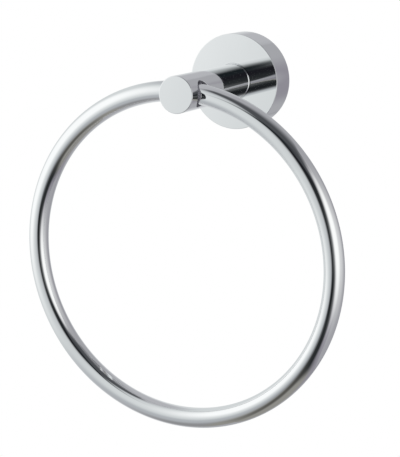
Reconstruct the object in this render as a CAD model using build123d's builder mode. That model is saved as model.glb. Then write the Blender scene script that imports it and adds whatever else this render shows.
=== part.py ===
from build123d import *
import math
import os

os.makedirs("parts", exist_ok=True)

# A wall-mounted towel ring. All lengths are in millimetres.
# The origin is the centre of the mounting face, where the holder meets the wall.
# +Z is up, +Y points into the wall, and the post reaches out along -Y.

# Ring of round bar, which hangs a little behind the middle of the post's cross hole
ring_centre_radius = 82.0
rod_diameter = 10.0
ring_offset = 0.5

# Post
post_diameter = 18.0
post_reach = 62.5
post_edge = 0.3
cross_hole_setback = 12.0
cross_hole_edge = 0.15

# Flange cover, a turned cup with its open side on the wall
flange_diameter = 48.5
flange_depth = 15.5
flange_rim_wall = 3.0
flange_face_wall = 4.0
flange_front_edge = 0.2
flange_back_edge = 0.3
seat_depth = 1.0
seat_edge = 0.5

# Wall bracket, a disc hidden inside the cover
groove_depth = 1.5
groove_floor_width = 1.6
groove_lip = 1.2
wall_screw_spacing = 27.0
wall_screw_hole_diameter = 4.5
wall_screw_head_diameter = 8.4
wall_screw_head_angle = 90.0

# Button-head screw and washer that clamp the post to the cover
post_screw_diameter = 6.0
post_screw_length = 16.0
post_screw_head_diameter = 10.5
post_screw_head_height = 3.3
post_screw_head_edge = 1.5
post_screw_socket_width = 4.0
post_screw_socket_depth = 2.0
tap_spare_depth = 3.0
drill_point_angle = 118.0
washer_diameter = 12.0
washer_thickness = 1.6

# Grub screw in the underside of the rim
grub_diameter = 4.0
grub_recess = 0.4
grub_socket_width = 2.0
grub_socket_depth = 1.6

# Clearances, each one on a side
ring_play = 0.85
post_seat_gap = 0.1
cover_gap = 0.3
bracket_front_gap = 4.0
head_gap = 2.0
thread_gap = 0.05
screw_hole_gap = 0.3
grub_tip_gap = 0.1
grub_side_gap = 0.2

# Places along the post, measured out from the wall
rod_radius = rod_diameter / 2
post_radius = post_diameter / 2
flange_radius = flange_diameter / 2
cavity_radius = flange_radius - flange_rim_wall
cavity_depth = flange_depth - flange_face_wall
post_start = flange_depth - seat_depth
post_end = flange_depth + post_reach
cross_hole_reach = post_end - cross_hole_setback
ring_reach = cross_hole_reach - ring_offset
head_front = cavity_depth - washer_thickness
head_back = head_front - post_screw_head_height


def bend(radius, half_length):
    """How far an arc of this radius drops from its top over half of a straight length."""
    return radius - math.sqrt(radius**2 - half_length**2)


# The cross hole is wide enough for the bent bar, which passes with the same gap above it and below it
ring_inner_radius = ring_centre_radius - rod_radius
cross_hole_radius = rod_radius + bend(ring_centre_radius, post_radius) + ring_play
floor_half_length = math.sqrt(post_radius**2 - cross_hole_radius**2)
bend_over_floor = bend(ring_inner_radius, floor_half_length)
ring_top_height = bend_over_floor / 2
ring_centre_height = ring_top_height - ring_centre_radius


def out_of_wall(reach):
    """The plane parallel to the wall at this reach, with its normal pointing away from the wall."""
    return Plane(origin=(0, -reach, 0), x_dir=(1, 0, 0), z_dir=(0, -1, 0))


# The half section of every turned piece: x is the radius, y is the reach from the wall
half_section = Plane(origin=(0, 0, 0), x_dir=(1, 0, 0), z_dir=(0, 0, -1))
turning_axis = Axis((0, 0, 0), (0, -1, 0))

# Wall bracket: a disc with a groove round its edge, a pocket for the screw's head and two countersunk holes
bracket_radius = cavity_radius - cover_gap
bracket_thickness = cavity_depth - bracket_front_gap
groove_radius = bracket_radius - groove_depth
groove_floor_half = groove_floor_width / 2
groove_mouth_half = groove_floor_half + groove_depth
groove_height = bracket_thickness - groove_lip - groove_mouth_half
pocket_radius = post_screw_head_diameter / 2 + head_gap
pocket_floor = head_back - head_gap
with BuildPart() as wall_bracket:
    with BuildSketch(half_section):
        with BuildLine():
            Polyline(
                (0, 0),
                (bracket_radius, 0),
                (bracket_radius, groove_height - groove_mouth_half),
                (groove_radius, groove_height - groove_floor_half),
                (groove_radius, groove_height + groove_floor_half),
                (bracket_radius, groove_height + groove_mouth_half),
                (bracket_radius, bracket_thickness),
                (pocket_radius, bracket_thickness),
                (pocket_radius, pocket_floor),
                (0, pocket_floor),
                close=True,
            )
        make_face()
    revolve(axis=turning_axis)
    with Locations(out_of_wall(bracket_thickness)):
        with GridLocations(wall_screw_spacing, 0, 2, 1):
            CounterSinkHole(
                radius=wall_screw_hole_diameter / 2,
                counter_sink_radius=wall_screw_head_diameter / 2,
                counter_sink_angle=wall_screw_head_angle,
            )

wall_bracket.part.label = "wall_bracket"
export_step(wall_bracket.part, "parts/wall_bracket.step")

# Flange cover: the cup, the shallow seat for the post, the screw's hole and the tapped hole in the rim
seat_radius = post_radius + post_seat_gap
grub_radius = grub_diameter / 2
grub_plane = Plane(origin=(0, -groove_height, -flange_radius), x_dir=(1, 0, 0), z_dir=(0, 0, 1))
with BuildPart() as flange_cover:
    with BuildSketch(half_section):
        with BuildLine():
            Polyline(
                (cavity_radius, 0),
                (flange_radius, 0),
                (flange_radius, flange_depth),
                (seat_radius, flange_depth),
                (seat_radius, post_start),
                (post_screw_diameter / 2 + screw_hole_gap, post_start),
                (post_screw_diameter / 2 + screw_hole_gap, cavity_depth),
                (cavity_radius, cavity_depth),
                close=True,
            )
        make_face()
    revolve(axis=turning_axis)
    circles = flange_cover.edges().filter_by(GeomType.CIRCLE).group_by(Axis.Y)
    front_circles = circles[0].sort_by(SortBy.RADIUS)
    back_circles = circles[-1].sort_by(SortBy.RADIUS)
    fillet(front_circles[-1], radius=flange_front_edge)
    chamfer(front_circles[0], length=seat_edge)
    fillet(back_circles[-1], radius=flange_back_edge)
    with BuildSketch(grub_plane):
        Circle(grub_radius + thread_gap)
    extrude(amount=flange_radius - cavity_radius + groove_depth, mode=Mode.SUBTRACT)

flange_cover.part.label = "flange_cover"
export_step(flange_cover.part, "parts/flange_cover.step")

# Post: a plain bar with a cross hole for the ring and a tapped blind hole in its back end
tap_radius = post_screw_diameter / 2 + thread_gap
tap_end = head_front + post_screw_length + tap_spare_depth
drill_point = tap_radius / math.tan(math.radians(drill_point_angle / 2))
cross_hole_plane = Plane(origin=(0, -cross_hole_reach, 0), x_dir=(0, 1, 0), z_dir=(1, 0, 0))
with BuildPart() as post:
    with BuildSketch(half_section):
        with BuildLine():
            Polyline(
                (tap_radius, post_start),
                (post_radius, post_start),
                (post_radius, post_end),
                (0, post_end),
                (0, tap_end + drill_point),
                (tap_radius, tap_end),
                close=True,
            )
        make_face()
    revolve(axis=turning_axis)
    front_edge = post.edges().filter_by(GeomType.CIRCLE).sort_by(Axis.Y)[0]
    fillet(front_edge, radius=post_edge)
    with BuildSketch(cross_hole_plane):
        Circle(cross_hole_radius)
    extrude(amount=post_radius, both=True, mode=Mode.SUBTRACT)
    mouth_edges = post.edges(Select.LAST).filter_by(GeomType.LINE, reverse=True)
    fillet(mouth_edges, radius=cross_hole_edge)

post.part.label = "post"
export_step(post.part, "parts/post.step")

# Washer under the screw's head
with BuildPart() as post_washer:
    with BuildSketch(out_of_wall(head_front)):
        Circle(washer_diameter / 2)
        Circle(post_screw_diameter / 2 + screw_hole_gap, mode=Mode.SUBTRACT)
    extrude(amount=washer_thickness)

post_washer.part.label = "post_washer"
export_step(post_washer.part, "parts/post_washer.step")

# Button-head screw, with its head towards the wall
with BuildPart() as post_screw:
    with BuildSketch(out_of_wall(head_back)):
        Circle(post_screw_head_diameter / 2)
    extrude(amount=post_screw_head_height)
    crown = post_screw.edges().filter_by(GeomType.CIRCLE).sort_by(Axis.Y)[-1]
    fillet(crown, radius=post_screw_head_edge)
    with BuildSketch(out_of_wall(head_front)):
        Circle(post_screw_diameter / 2)
    extrude(amount=post_screw_length)
    with BuildSketch(out_of_wall(head_back)):
        RegularPolygon(radius=post_screw_socket_width / 2, side_count=6, major_radius=False)
    extrude(amount=post_screw_socket_depth, mode=Mode.SUBTRACT)

post_screw.part.label = "post_screw"
export_step(post_screw.part, "parts/post_screw.step")

# Grub screw, pointing up into the bracket's groove
grub_start = -flange_radius + grub_recess
grub_tip = -groove_radius - grub_tip_gap
grub_tip_radius = groove_floor_half - grub_side_gap
grub_cone = grub_radius - grub_tip_radius
grub_section = Plane(origin=(0, -groove_height, 0), x_dir=(1, 0, 0), z_dir=(0, -1, 0))
with BuildPart() as grub_screw:
    with BuildSketch(grub_section):
        with BuildLine():
            Polyline(
                (0, grub_start),
                (grub_radius, grub_start),
                (grub_radius, grub_tip - grub_cone),
                (grub_tip_radius, grub_tip),
                (0, grub_tip),
                close=True,
            )
        make_face()
    revolve(axis=Axis((0, -groove_height, 0), (0, 0, 1)))
    with BuildSketch(Plane(origin=(0, -groove_height, grub_start), x_dir=(1, 0, 0), z_dir=(0, 0, 1))):
        RegularPolygon(radius=grub_socket_width / 2, side_count=6, major_radius=False)
    extrude(amount=grub_socket_depth, mode=Mode.SUBTRACT)

grub_screw.part.label = "grub_screw"
export_step(grub_screw.part, "parts/grub_screw.step")

# Ring: an endless loop of round bar, threaded through the post's cross hole
with BuildPart() as ring:
    with BuildSketch(Plane.XY.offset(ring_centre_height)):
        with Locations((ring_centre_radius, -ring_reach)):
            Circle(rod_radius)
    revolve(axis=Axis((0, -ring_reach, ring_centre_height), (0, 1, 0)))

ring.part.label = "ring"
export_step(ring.part, "parts/ring.step")

# Values that the part's data sheet repeats, in metres
print("cross hole's axis, which the ring swings about, y:", -cross_hole_reach / 1000)
print("ring centre y:", -ring_reach / 1000, "z:", round(ring_centre_height / 1000, 6))
print("ring inner radius:", ring_inner_radius / 1000)
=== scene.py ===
import math
from collections import namedtuple

import bmesh
import bpy
from mathutils import Matrix, Vector


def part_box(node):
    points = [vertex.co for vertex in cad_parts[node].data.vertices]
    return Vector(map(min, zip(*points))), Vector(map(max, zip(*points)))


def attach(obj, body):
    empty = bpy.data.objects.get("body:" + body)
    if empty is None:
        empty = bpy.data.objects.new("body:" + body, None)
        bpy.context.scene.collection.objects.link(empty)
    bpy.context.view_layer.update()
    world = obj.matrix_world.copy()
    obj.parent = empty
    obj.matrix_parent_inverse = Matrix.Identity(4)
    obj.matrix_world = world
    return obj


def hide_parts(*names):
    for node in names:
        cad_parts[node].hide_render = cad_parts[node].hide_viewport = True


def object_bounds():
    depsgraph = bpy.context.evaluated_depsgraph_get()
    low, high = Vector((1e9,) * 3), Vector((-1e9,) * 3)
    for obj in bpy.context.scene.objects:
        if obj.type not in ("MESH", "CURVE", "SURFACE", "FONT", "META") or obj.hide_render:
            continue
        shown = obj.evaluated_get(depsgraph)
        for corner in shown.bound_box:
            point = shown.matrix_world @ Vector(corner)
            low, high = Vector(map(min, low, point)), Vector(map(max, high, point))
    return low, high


# A wall-mounted towel ring in polished chrome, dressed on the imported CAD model.
# All lengths are in metres. The wall is the plane y = 0, and the post reaches out along -Y.

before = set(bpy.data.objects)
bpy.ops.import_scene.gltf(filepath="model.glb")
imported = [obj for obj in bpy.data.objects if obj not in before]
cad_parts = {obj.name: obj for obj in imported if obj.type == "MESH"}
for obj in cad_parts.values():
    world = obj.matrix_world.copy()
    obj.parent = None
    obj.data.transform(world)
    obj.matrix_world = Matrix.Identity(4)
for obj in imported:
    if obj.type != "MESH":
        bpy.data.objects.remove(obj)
cad_low, cad_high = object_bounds()
MM = 0.001

# Sizes of the three pieces that are meshed again, from the CAD nodes' boxes and the part's small sizes
ring_low, ring_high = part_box("ring")
post_low, post_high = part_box("post")
cover_low, cover_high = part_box("flange_cover")
screw_low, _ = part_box("post_screw")
grub_low, grub_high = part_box("grub_screw")

ROD_RADIUS = round((ring_high.y - ring_low.y) / 2, 4)
RING_RADIUS = round((ring_high.x - ring_low.x) / 2, 4) - ROD_RADIUS
RING_REACH = round(-(ring_high.y + ring_low.y) / 2, 4)
RING_HEIGHT = (ring_high.z + ring_low.z) / 2
RING_PLAY = 0.85 * MM
RING_OFFSET = 0.5 * MM

POST_RADIUS = round(post_high.x, 4)
POST_START = -post_high.y
POST_END = -post_low.y
POST_EDGE = 0.3 * MM
CROSS_HOLE_REACH = RING_REACH + RING_OFFSET
CROSS_HOLE_RADIUS = ROD_RADIUS + RING_RADIUS - math.sqrt(RING_RADIUS**2 - POST_RADIUS**2) + RING_PLAY
CROSS_HOLE_EDGE = 0.15 * MM
TAP_RADIUS = 3.05 * MM
TAP_SPARE_DEPTH = 3.0 * MM
TAP_END = -screw_low.y + TAP_SPARE_DEPTH
DRILL_POINT = 1.83 * MM

COVER_RADIUS = round(cover_high.x, 5)
COVER_DEPTH = -cover_low.y
COVER_RIM_WALL = 3.0 * MM
COVER_FACE_WALL = 4.0 * MM
COVER_FRONT_EDGE = 0.2 * MM
COVER_BACK_EDGE = 0.3 * MM
CAVITY_RADIUS = COVER_RADIUS - COVER_RIM_WALL
CAVITY_DEPTH = COVER_DEPTH - COVER_FACE_WALL
SEAT_GAP = 0.1 * MM
SEAT_RADIUS = POST_RADIUS + SEAT_GAP
SEAT_EDGE = 0.5 * MM
SCREW_HOLE_RADIUS = 3.3 * MM
THREAD_GAP = 0.05 * MM
GRUB_REACH = -(grub_low.y + grub_high.y) / 2
GRUB_HOLE_RADIUS = grub_high.x + THREAD_GAP
GRUB_HOLE_EDGE = 0.15 * MM

# A row of points this close to a rounded edge keeps the flat surface beside it flat in reflections
SUPPORT = 0.2 * MM

# Points nearer than this are welded, and edges that bend by more than this many degrees stay sharp
WELD_DISTANCE = 0.001 * MM
SHARP_ANGLE = 32


# Mesh helpers

def turned_point(radius, angle, reach):
    """A point of a surface turned about the post's axis."""
    return Vector((radius * math.cos(angle), -reach, radius * math.sin(angle)))


def turned_row(radius, reach, steps):
    """A circle of points about the post's axis."""
    return [turned_point(radius, 2 * math.pi * i / steps, reach) for i in range(steps)]


def rounded_corner(centre_radius, centre_reach, radius, start, end, steps=6):
    """Profile points of a quarter round, with its angles in degrees from outward towards the front."""
    points = []
    for i in range(steps + 1):
        angle = math.radians(start + (end - start) * i / steps)
        points.append((centre_radius + radius * math.cos(angle), centre_reach + radius * math.sin(angle)))
    return points


def join_rows(bm, rows, material=0):
    """Quads between each closed row of points and the next."""
    made = [[bm.verts.new(point) for point in row] for row in rows]
    for low, high in zip(made, made[1:]):
        count = len(low)
        for i in range(count):
            j = (i + 1) % count
            face = bm.faces.new((low[i], low[j], high[j], high[i]))
            face.material_index = material


def turn(bm, profile, steps):
    """A surface turned from (radius, reach) points."""
    join_rows(bm, [turned_row(radius, reach, steps) for radius, reach in profile])


class Bore:
    """A round hole through a turned wall, square to the post's axis, with a rounded mouth.

    The mouth sits in a patch of the wall that spans half_steps of the wall's steps to each side of the hole,
    and half_width to each side along the post, in the given number of rows.
    """

    def __init__(self, angle, reach, radius, edge, half_steps, half_width, rows, steps):
        self.angle = angle
        self.reach = reach
        self.radius = radius
        self.edge = edge
        self.half_steps = half_steps
        self.half_width = half_width
        self.rows = rows
        self.half_angle = 2 * math.pi * half_steps / steps
        self.along = Vector((math.cos(angle), 0, math.sin(angle)))
        self.across = Vector((-math.sin(angle), 0, math.cos(angle)))

    def frame_points(self):
        """The (angle, reach) points round the patch of wall that holds the mouth."""
        columns, rows = 2 * self.half_steps, self.rows
        left, right = -self.half_angle, self.half_angle
        low, high = -self.half_width, self.half_width
        points = []
        points += [(left + (right - left) * i / columns, low) for i in range(columns)]
        points += [(right, low + (high - low) * i / rows) for i in range(rows)]
        points += [(right - (right - left) * i / columns, high) for i in range(columns)]
        points += [(left, high - (high - low) * i / rows) for i in range(rows)]
        return points

    def turn_of(self, point):
        """The direction round the hole that belongs to a point of the patch's frame."""
        return math.atan2(point[1] / self.half_width, point[0] / self.half_angle)

    def place(self, depth, side, rise):
        """A point from its distances along the hole, across it and along the post."""
        return self.along * depth + self.across * side + Vector((0, -self.reach - rise, 0))

    def wall_row(self, radius, edge, share):
        """Points on the wall, part of the way from the mouth (0) to the patch's frame (1)."""
        row = []
        for point in self.frame_points():
            turn_angle = self.turn_of(point)
            side = (self.radius + edge) * math.cos(turn_angle)
            rise = (self.radius + edge) * math.sin(turn_angle)
            mouth = math.asin(side / (radius - edge))
            angle = mouth + (point[0] - mouth) * share
            reach = rise + (point[1] - rise) * share
            row.append(turned_point(radius, self.angle + angle, self.reach + reach))
        return row

    def mouth_rows(self, radius, steps=6):
        """The rounded mouth, from the outer wall into the hole."""
        made = [[] for _ in range(steps + 1)]
        for point in self.frame_points():
            turn_angle = self.turn_of(point)
            side = (self.radius + self.edge) * math.cos(turn_angle)
            rise = (self.radius + self.edge) * math.sin(turn_angle)
            depth = math.sqrt((radius - self.edge) ** 2 - side**2)
            centre = self.place(depth, side, rise)
            outward = (self.along * depth + self.across * side).normalized()
            inward = self.across * -math.cos(turn_angle) + Vector((0, math.sin(turn_angle), 0))
            for i in range(steps + 1):
                made[i].append(centre + outward.slerp(inward, i / steps) * self.edge)
        return made

    def hole_row(self, radius, inner_radius, share):
        """Points in the hole, part of the way from its mouth (0) to an inner wall, or to the axis (1)."""
        row = []
        for point in self.frame_points():
            turn_angle = self.turn_of(point)
            side = self.radius * math.cos(turn_angle)
            rise = self.radius * math.sin(turn_angle)
            mouth_side = (self.radius + self.edge) * math.cos(turn_angle)
            start = math.sqrt((radius - self.edge) ** 2 - mouth_side**2)
            end = math.sqrt(inner_radius**2 - side**2) if inner_radius else 0.0
            row.append(self.place(start + (end - start) * share, side, rise))
        return row


def bored_band(bm, radius, bores, steps):
    """The plain part of a turned wall beside its bores. Each bore's patch spans the band's whole width."""
    reach, half_width, rows = bores[0].reach, bores[0].half_width, bores[0].rows
    open_steps = set()
    for bore in bores:
        centre = round(bore.angle / (2 * math.pi) * steps)
        open_steps |= {(centre + i) % steps for i in range(-bore.half_steps, bore.half_steps)}
    for i in range(steps):
        if i in open_steps:
            continue
        for j in range(rows):
            low = reach - half_width + 2 * half_width * j / rows
            high = reach - half_width + 2 * half_width * (j + 1) / rows
            near, far = 2 * math.pi * i / steps, 2 * math.pi * (i + 1) / steps
            corners = ((near, low), (far, low), (far, high), (near, high))
            bm.faces.new([bm.verts.new(turned_point(radius, a, r)) for a, r in corners])


def finish_mesh(bm, name, body, node, slot, *materials):
    """Welds the rows into one closed skin, and puts it in its CAD node's place."""
    bmesh.ops.remove_doubles(bm, verts=bm.verts, dist=WELD_DISTANCE)
    bmesh.ops.recalc_face_normals(bm, faces=bm.faces)
    mesh = bpy.data.meshes.new(name)
    bm.to_mesh(mesh)
    bm.free()
    mesh.shade_smooth()
    mesh.set_sharp_from_angle(angle=math.radians(SHARP_ANGLE))
    for material in materials:
        mesh.materials.append(material)
    piece = bpy.data.objects.new(name, mesh)
    bpy.context.scene.collection.objects.link(piece)
    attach(piece, body)
    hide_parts(node)


# Material helpers

def new_material(name):
    """A new node material, with its tree and its principled shader."""
    material = bpy.data.materials.new(name)
    material.use_nodes = True
    return material, material.node_tree, material.node_tree.nodes["Principled BSDF"]


def noise(tree, scale, detail, stretch=(1, 1, 1)):
    """Noise in the object's own coordinates, in cycles a metre."""
    coordinates = tree.nodes.new("ShaderNodeTexCoord")
    mapping = tree.nodes.new("ShaderNodeMapping")
    mapping.inputs["Scale"].default_value = stretch
    texture = tree.nodes.new("ShaderNodeTexNoise")
    texture.inputs["Scale"].default_value = scale
    texture.inputs["Detail"].default_value = detail
    tree.links.new(coordinates.outputs["Object"], mapping.inputs["Vector"])
    tree.links.new(mapping.outputs["Vector"], texture.inputs["Vector"])
    return texture.outputs["Fac"]


def spread(tree, value, low, high):
    """The middle of a noise's range, where nearly all of it lies, spread over another range."""
    node = tree.nodes.new("ShaderNodeMapRange")
    node.inputs["From Min"].default_value = 0.3
    node.inputs["From Max"].default_value = 0.7
    node.inputs["To Min"].default_value = low
    node.inputs["To Max"].default_value = high
    tree.links.new(value, node.inputs["Value"])
    return node.outputs["Result"]


def faded(tree, value, start, end):
    """1 up to the start, 0 from the end on, and a smooth step between them."""
    node = tree.nodes.new("ShaderNodeMapRange")
    node.interpolation_type = "SMOOTHSTEP"
    node.inputs["From Min"].default_value = start
    node.inputs["From Max"].default_value = end
    node.inputs["To Min"].default_value = 1.0
    node.inputs["To Max"].default_value = 0.0
    tree.links.new(value, node.inputs["Value"])
    return node.outputs["Result"]


def mixed_colour(tree, value, dark, light):
    """A colour between two, by a 0 to 1 value."""
    node = tree.nodes.new("ShaderNodeMix")
    node.data_type = "RGBA"
    node.inputs["A"].default_value = (*dark, 1)
    node.inputs["B"].default_value = (*light, 1)
    tree.links.new(value, node.inputs["Factor"])
    return node.outputs["Result"]


def bumped(tree, shader, height, depth):
    """A bump on the shader, its depth in metres."""
    node = tree.nodes.new("ShaderNodeBump")
    node.inputs["Strength"].default_value = 1.0
    node.inputs["Distance"].default_value = depth
    tree.links.new(height, node.inputs["Height"])
    tree.links.new(node.outputs["Normal"], shader.inputs["Normal"])


def math_node(tree, operation, first, second=None):
    """One sum. Each value is a socket or a number."""
    node = tree.nodes.new("ShaderNodeMath")
    node.operation = operation
    for socket, value in zip(node.inputs, (first, second)):
        if isinstance(value, bpy.types.NodeSocket):
            tree.links.new(value, socket)
        elif value is not None:
            socket.default_value = value
    return node.outputs[0]


def vector_node(tree, operation, *values):
    """One operation on vector sockets."""
    node = tree.nodes.new("ShaderNodeVectorMath")
    node.operation = operation
    for socket, value in zip(node.inputs, values):
        tree.links.new(value, socket)
    return node


# Finishes

def chrome_finish():
    """Bright plated chrome: a clear mirror with a trace of polishing haze and plating ripple."""
    material, tree, shader = new_material("chrome_finish")
    haze = noise(tree, scale=90, detail=4)
    ripple = noise(tree, scale=120, detail=1)
    colour = mixed_colour(tree, haze, dark=(0.885, 0.89, 0.895), light=(0.905, 0.91, 0.915))
    tree.links.new(colour, shader.inputs["Base Color"])
    shader.inputs["Metallic"].default_value = 1.0
    tree.links.new(spread(tree, haze, low=0.02, high=0.05), shader.inputs["Roughness"])
    bumped(tree, shader, ripple, depth=0.001 * MM)
    return material


def bore_finish():
    """The dull, pale grey wall of the cross hole, which no polishing wheel reaches."""
    material, tree, shader = new_material("bore_finish")
    tool_marks = noise(tree, scale=700, detail=3, stretch=(0.2, 1.0, 1.0))
    colour = mixed_colour(tree, tool_marks, dark=(0.70, 0.69, 0.75), light=(0.80, 0.79, 0.85))
    tree.links.new(colour, shader.inputs["Base Color"])
    tree.links.new(spread(tree, tool_marks, low=0.45, high=0.6), shader.inputs["Roughness"])
    bumped(tree, shader, tool_marks, depth=0.01 * MM)
    return material


def zinc_finish():
    """Plain zinc plate: dull grey, grainy and a little blotchy."""
    material, tree, shader = new_material("zinc_finish")
    blotches = noise(tree, scale=160, detail=5)
    grain = noise(tree, scale=1500, detail=3)
    patches = spread(tree, blotches, low=0.0, high=1.0)
    colour = mixed_colour(tree, patches, dark=(0.36, 0.37, 0.38), light=(0.60, 0.61, 0.62))
    tree.links.new(colour, shader.inputs["Base Color"])
    shader.inputs["Metallic"].default_value = 1.0
    tree.links.new(spread(tree, blotches, low=0.42, high=0.6), shader.inputs["Roughness"])
    bumped(tree, shader, grain, depth=0.06 * MM)
    return material


def stainless_finish():
    """Turned stainless steel: fine lines round the screws and a soft shine."""
    material, tree, shader = new_material("stainless_finish")
    lines = noise(tree, scale=900, detail=3, stretch=(0.2, 3.0, 0.2))
    colour = mixed_colour(tree, lines, dark=(0.46, 0.45, 0.43), light=(0.64, 0.63, 0.61))
    tree.links.new(colour, shader.inputs["Base Color"])
    shader.inputs["Metallic"].default_value = 1.0
    tree.links.new(spread(tree, lines, low=0.22, high=0.36), shader.inputs["Roughness"])
    bumped(tree, shader, lines, depth=0.02 * MM)
    return material


# Pieces

def build_ring(chrome):
    """The endless ring of round bar."""
    around, across = 384, 64
    bm = bmesh.new()
    rows = []
    for i in range(around + 1):
        turn_angle = 2 * math.pi * i / around
        row = []
        for j in range(across):
            bar_angle = 2 * math.pi * j / across
            radius = RING_RADIUS + ROD_RADIUS * math.cos(bar_angle)
            row.append(Vector((
                radius * math.sin(turn_angle),
                -RING_REACH - ROD_RADIUS * math.sin(bar_angle),
                RING_HEIGHT + radius * math.cos(turn_angle),
            )))
        rows.append(row)
    join_rows(bm, rows)
    finish_mesh(bm, "ring_bar", "ring", "ring", "chrome", chrome)


def build_post(chrome, bore_wall):
    """The post, with the cross hole that the ring hangs in and the tapped hole behind."""
    steps, rows = 192, 24
    half_steps, half_width = 32, 9.0 * MM
    wall_shares = (1.0, 0.7, 0.4, 0.15, 0.05)
    hole_shares = (0.0, 0.03, 0.2, 0.4, 0.6, 0.8, 1.0)
    band_low, band_high = CROSS_HOLE_REACH - half_width, CROSS_HOLE_REACH + half_width
    hole_sizes = (CROSS_HOLE_REACH, CROSS_HOLE_RADIUS, CROSS_HOLE_EDGE)
    bores = [Bore(angle, *hole_sizes, half_steps, half_width, rows, steps) for angle in (0.0, math.pi)]
    bm = bmesh.new()
    front = [(0.0, POST_END), (POST_RADIUS - POST_EDGE - SUPPORT, POST_END)]
    front += rounded_corner(POST_RADIUS - POST_EDGE, POST_END - POST_EDGE, POST_EDGE, 90, 0)
    front += [(POST_RADIUS, POST_END - POST_EDGE - SUPPORT), (POST_RADIUS, band_high)]
    turn(bm, front, steps)
    bored_band(bm, POST_RADIUS, bores, steps)
    for bore in bores:
        mouth = [bore.wall_row(POST_RADIUS, CROSS_HOLE_EDGE, share) for share in wall_shares]
        mouth += bore.mouth_rows(POST_RADIUS)
        join_rows(bm, mouth)
        inside = [bore.hole_row(POST_RADIUS, None, share) for share in hole_shares]
        join_rows(bm, inside, material=1)
    back = [
        (POST_RADIUS, band_low),
        (POST_RADIUS, (band_low + POST_START) / 2),
        (POST_RADIUS, POST_START),
        (TAP_RADIUS, POST_START),
        (TAP_RADIUS, TAP_END),
        (0.0, TAP_END + DRILL_POINT),
    ]
    turn(bm, back, steps)
    finish_mesh(bm, "post_bar", "holder", "post", "chrome", chrome, bore_wall)


def build_cover(chrome):
    """The flange cover, a turned cup with the post's seat in its face and a tapped hole in its rim."""
    steps, rows = 256, 8
    half_steps, half_width = 6, 3.4 * MM
    outer_shares = (1.0, 0.5, 0.15)
    hole_shares = (0.1, 0.4, 0.7)
    inner_shares = (0.0, 0.5, 1.0)
    band_low, band_high = GRUB_REACH - half_width, GRUB_REACH + half_width
    hole_sizes = (GRUB_REACH, GRUB_HOLE_RADIUS, GRUB_HOLE_EDGE)
    bore = Bore(-math.pi / 2, *hole_sizes, half_steps, half_width, rows, steps)
    back_corner = COVER_RADIUS - COVER_BACK_EDGE
    front_corner = COVER_RADIUS - COVER_FRONT_EDGE
    front_corner_reach = COVER_DEPTH - COVER_FRONT_EDGE
    bm = bmesh.new()
    back = [(CAVITY_RADIUS, band_low), (CAVITY_RADIUS, 0.0), (back_corner - SUPPORT, 0.0)]
    back += rounded_corner(back_corner, COVER_BACK_EDGE, COVER_BACK_EDGE, -90, 0)
    back += [(COVER_RADIUS, COVER_BACK_EDGE + SUPPORT), (COVER_RADIUS, band_low)]
    turn(bm, back, steps)
    bored_band(bm, COVER_RADIUS, [bore], steps)
    bored_band(bm, CAVITY_RADIUS, [bore], steps)
    hole = [bore.wall_row(COVER_RADIUS, GRUB_HOLE_EDGE, share) for share in outer_shares]
    hole += bore.mouth_rows(COVER_RADIUS)
    hole += [bore.hole_row(COVER_RADIUS, CAVITY_RADIUS, share) for share in hole_shares]
    hole += [bore.wall_row(CAVITY_RADIUS, 0.0, share) for share in inner_shares]
    join_rows(bm, hole)
    front = [(COVER_RADIUS, band_high), (COVER_RADIUS, front_corner_reach - SUPPORT)]
    front += rounded_corner(front_corner, front_corner_reach, COVER_FRONT_EDGE, 0, 90)
    front += [
        (front_corner - SUPPORT, COVER_DEPTH),
        (SEAT_RADIUS + SEAT_EDGE, COVER_DEPTH),
        (SEAT_RADIUS, COVER_DEPTH - SEAT_EDGE),
        (SEAT_RADIUS, POST_START),
        (SCREW_HOLE_RADIUS, POST_START),
        (SCREW_HOLE_RADIUS, CAVITY_DEPTH),
        (CAVITY_RADIUS, CAVITY_DEPTH),
        (CAVITY_RADIUS, band_high),
    ]
    turn(bm, front, steps)
    finish_mesh(bm, "flange_cup", "holder", "flange_cover", "chrome", chrome)


# Studio: a light tent that only reflections see, a pale floor and a white background

TENT_RADIUS = 0.55
TENT_WALL = (0.404, 0.408, 0.432)

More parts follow.
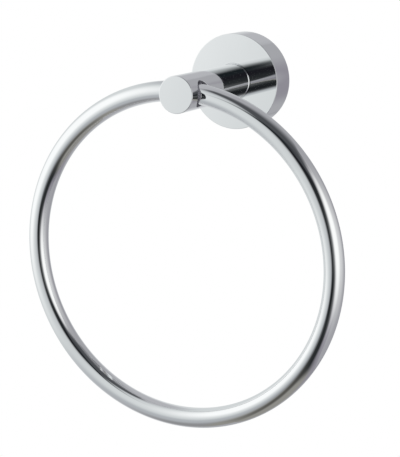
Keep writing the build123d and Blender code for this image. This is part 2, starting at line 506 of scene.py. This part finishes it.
# Soft panels of the tent, each laid over those before it, oval unless they are square. Azimuth runs from
# straight out of the wall towards +X. Angles and sizes are in degrees, and softness is a share of the size.
Panel = namedtuple("Panel", "name azimuth elevation half_width half_height tilt softness square colour")
TENT_PANELS = [
    Panel("ceiling", -101.1, 30.5, 212.9, 45.9, 8.0, 0.30, False, (0.070, 0.074, 0.082)),
    Panel("dark_front", -11.9, -30.0, 78.5, 65.2, 21.3, 0.06, False, (0.012, 0.012, 0.016)),
    Panel("ground", 51.5, -97.3, 170.8, 60.2, -5.7, 0.10, False, (0.300, 0.295, 0.274)),
    Panel("left_backing", -73.9, -8.7, 52.0, 72.4, 10.6, 0.06, True, (0.286, 0.289, 0.300)),
    Panel("left_wall", -105.7, 11.4, 80.1, 73.0, 9.1, 0.20, True, (0.486, 0.492, 0.518)),
    Panel("low_shade", 17.2, -48.8, 19.6, 25.0, -21.0, 0.83, False, (0.102, 0.100, 0.091)),
    Panel("dark_right", 76.7, -9.1, 78.1, 43.4, 5.1, 0.15, False, (0.023, 0.026, 0.028)),
    Panel("camera_spot", 32.8, -8.9, 9.5, 15.8, -3.7, 0.52, False, (0.123, 0.129, 0.132)),
    Panel("left_panel", -81.1, -0.3, 84.6, 43.6, 17.1, 0.15, True, (0.709, 0.724, 0.739)),
    Panel("left_edge", -64.1, 1.9, 63.8, 56.5, 0.1, 0.22, True, (0.464, 0.487, 0.510)),
    Panel("left_glow", -75.4, 8.6, 77.9, 48.6, 11.1, 0.20, False, (0.694, 0.726, 0.733)),
    Panel("left_lamp", -64.4, 9.9, 31.1, 35.7, -60.0, 0.47, False, (1.058, 1.074, 1.074)),
    Panel("right_panel", 103.1, -8.8, 59.7, 47.4, -11.1, 0.15, True, (0.297, 0.287, 0.326)),
    Panel("right_edge", 112.5, 2.2, 41.0, 50.4, -3.8, 0.03, True, (0.383, 0.384, 0.409)),
    Panel("right_glow", 90.1, 2.7, 38.2, 25.9, 16.6, 0.80, False, (0.698, 0.707, 0.716)),
    Panel("right_lamp", 65.3, 7.9, 19.5, 30.7, -24.1, 0.59, False, (1.065, 1.074, 1.063)),
    Panel("upper_flag", 9.5, 35.8, 21.9, 4.7, 8.7, 0.71, False, (0.011, 0.015, 0.018)),
    Panel("lower_flag", 12.9, -17.0, 13.1, 4.0, 16.1, 0.95, False, (0.013, 0.015, 0.017)),
    Panel("top_shade", 2.1, 61.7, 60.1, 6.0, -15.7, 0.62, False, (0.081, 0.085, 0.092)),
]

# The floor is a disc below the object. Its grain is a little paler than its colour, and it fades out from
# this share of its radius.
FLOOR_DROP = 0.25
FLOOR_RADIUS = 0.42
FLOOR_FADE_START = 0.6
FLOOR_COLOUR = (0.92, 0.91, 0.89)
FLOOR_GRAIN = 1.03

# The background, as it is seen and as it lights the scene
BACKGROUND_SEEN = (1, 1, 1)
BACKGROUND_LIGHT = (0.75, 0.75, 0.76)


def tent_panel(tree, direction, under, panel):
    """Lays one soft panel over the colour under it."""
    mapping = tree.nodes.new("ShaderNodeMapping")
    mapping.vector_type = "TEXTURE"
    mapping.inputs["Location"].default_value = (panel.azimuth, panel.elevation, 0)
    mapping.inputs["Rotation"].default_value = (0, 0, math.radians(panel.tilt))
    mapping.inputs["Scale"].default_value = (panel.half_width, panel.half_height, 1)
    tree.links.new(direction, mapping.inputs["Vector"])
    place = mapping.outputs["Vector"]
    if panel.square:
        squared = vector_node(tree, "MULTIPLY", place, place).outputs["Vector"]
        distance = math_node(tree, "SQRT", vector_node(tree, "LENGTH", squared).outputs["Value"])
    else:
        distance = vector_node(tree, "LENGTH", place).outputs["Value"]
    mix = tree.nodes.new("ShaderNodeMix")
    mix.label = panel.name
    mix.data_type = "RGBA"
    mix.inputs["B"].default_value = (*panel.colour, 1)
    tree.links.new(faded(tree, distance, 1 - panel.softness, 1 + panel.softness), mix.inputs["Factor"])
    tree.links.new(under, mix.inputs["A"])
    return mix.outputs["Result"]


def tent_material():
    """The tent's wall: each soft panel laid over those before it, by direction from the tent's centre."""
    material = bpy.data.materials.new("tent_wall")
    material.use_nodes = True
    material.cycles.emission_sampling = "NONE"
    tree = material.node_tree
    tree.nodes.clear()
    coordinates = tree.nodes.new("ShaderNodeTexCoord")
    unit = vector_node(tree, "NORMALIZE", coordinates.outputs["Object"])
    split = tree.nodes.new("ShaderNodeSeparateXYZ")
    tree.links.new(unit.outputs["Vector"], split.inputs["Vector"])
    outward = math_node(tree, "MULTIPLY", split.outputs["Y"], -1.0)
    azimuth = math_node(tree, "DEGREES", math_node(tree, "ARCTAN2", split.outputs["X"], outward))
    elevation = math_node(tree, "DEGREES", math_node(tree, "ARCSINE", split.outputs["Z"]))
    direction = tree.nodes.new("ShaderNodeCombineXYZ")
    tree.links.new(azimuth, direction.inputs["X"])
    tree.links.new(elevation, direction.inputs["Y"])
    wall = tree.nodes.new("ShaderNodeRGB")
    wall.outputs["Color"].default_value = (*TENT_WALL, 1)
    colour = wall.outputs["Color"]
    for panel in TENT_PANELS:
        colour = tent_panel(tree, direction.outputs["Vector"], colour, panel)
    emission = tree.nodes.new("ShaderNodeEmission")
    output = tree.nodes.new("ShaderNodeOutputMaterial")
    tree.links.new(colour, emission.inputs["Color"])
    tree.links.new(emission.outputs["Emission"], output.inputs["Surface"])
    return material


def stage_object(bm, name, material, location):
    """A piece of the studio, from its mesh."""
    mesh = bpy.data.meshes.new(name)
    bm.to_mesh(mesh)
    bm.free()
    mesh.materials.append(material)
    item = bpy.data.objects.new(name, mesh)
    item.location = location
    bpy.context.scene.collection.objects.link(item)
    return item


def build_tent(centre):
    """A round tent about the object, hidden from the camera."""
    bm = bmesh.new()
    bmesh.ops.create_uvsphere(bm, u_segments=96, v_segments=48, radius=TENT_RADIUS)
    tent = stage_object(bm, "light_tent", tent_material(), centre)
    tent.visible_camera = False
    tent.visible_shadow = False


def floor_material():
    """Pale matt board that fades out at its edge."""
    material, tree, shader = new_material("floor_board")
    grain = noise(tree, scale=40, detail=3)
    pale = tuple(min(1.0, value * FLOOR_GRAIN) for value in FLOOR_COLOUR)
    tree.links.new(mixed_colour(tree, grain, FLOOR_COLOUR, pale), shader.inputs["Base Color"])
    shader.inputs["Roughness"].default_value = 0.9
    coordinates = tree.nodes.new("ShaderNodeTexCoord")
    distance = vector_node(tree, "LENGTH", coordinates.outputs["Object"]).outputs["Value"]
    fade = faded(tree, distance, FLOOR_RADIUS * FLOOR_FADE_START, FLOOR_RADIUS)
    tree.links.new(fade, shader.inputs["Alpha"])
    return material


def build_floor(centre):
    """A round, pale floor below the object. In reflections, the tent's ground panel stands for it."""
    bm = bmesh.new()
    bmesh.ops.create_circle(bm, cap_ends=True, segments=96, radius=FLOOR_RADIUS)
    place = (centre.x, centre.y, cad_low.z - FLOOR_DROP)
    floor = stage_object(bm, "studio_floor", floor_material(), place)
    floor.visible_glossy = False


def build_world():
    """White behind the object, for the camera and for what shines, and plain light elsewhere."""
    world = bpy.data.worlds.new("studio_world")
    world.use_nodes = True
    bpy.context.scene.world = world
    tree = world.node_tree
    background = tree.nodes["Background"]
    rays = tree.nodes.new("ShaderNodeLightPath").outputs
    seen = math_node(tree, "MAXIMUM", rays["Is Camera Ray"], rays["Is Glossy Ray"])
    seen = math_node(tree, "MAXIMUM", seen, rays["Is Transmission Ray"])
    colour = mixed_colour(tree, seen, BACKGROUND_LIGHT, BACKGROUND_SEEN)
    tree.links.new(colour, background.inputs["Color"])
    background.inputs["Strength"].default_value = 1.0


# Camera, as the photograph was taken: angles in degrees, lens and sensor in millimetres

CAMERA_AZIMUTH = 26.511
CAMERA_ELEVATION = 13.72
CAMERA_ROLL = 3.137
CAMERA_DISTANCE = 0.759505
CAMERA_TARGET = Vector((-0.007197, -0.030, -0.075286))
CAMERA_LENS = 116.446
CAMERA_SENSOR = 36.0


def build_camera():
    """The camera at the photograph's viewing angle."""
    azimuth, elevation = math.radians(CAMERA_AZIMUTH), math.radians(CAMERA_ELEVATION)
    back = Vector((
        math.sin(azimuth) * math.cos(elevation),
        -math.cos(azimuth) * math.cos(elevation),
        math.sin(elevation),
    ))
    right = (-back).cross(Vector((0, 0, 1))).normalized()
    up = right.cross(-back)
    turned = Matrix.Rotation(math.radians(CAMERA_ROLL), 3, back)
    right, up = turned @ right, turned @ up
    data = bpy.data.cameras.new("photo_camera")
    data.sensor_width = CAMERA_SENSOR
    data.lens = CAMERA_LENS
    camera = bpy.data.objects.new("photo_camera", data)
    place = Matrix((right, up, back)).transposed().to_4x4()
    place.translation = CAMERA_TARGET + back * CAMERA_DISTANCE
    camera.matrix_world = place
    bpy.context.scene.collection.objects.link(camera)
    bpy.context.scene.camera = camera


# The whole scene

chrome = chrome_finish()
bore_wall = bore_finish()
zinc = zinc_finish()
stainless = stainless_finish()

build_ring(chrome)
build_post(chrome, bore_wall)
build_cover(chrome)
for node, material in (
    ("wall_bracket", zinc),
    ("post_screw", stainless),
    ("post_washer", stainless),
    ("grub_screw", stainless),
):
    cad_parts[node].material_slots[0].material = material

middle = (cad_low + cad_high) / 2
build_tent(middle)
build_floor(middle)
build_world()
build_camera()
bpy.context.scene.view_settings.view_transform = "Standard"
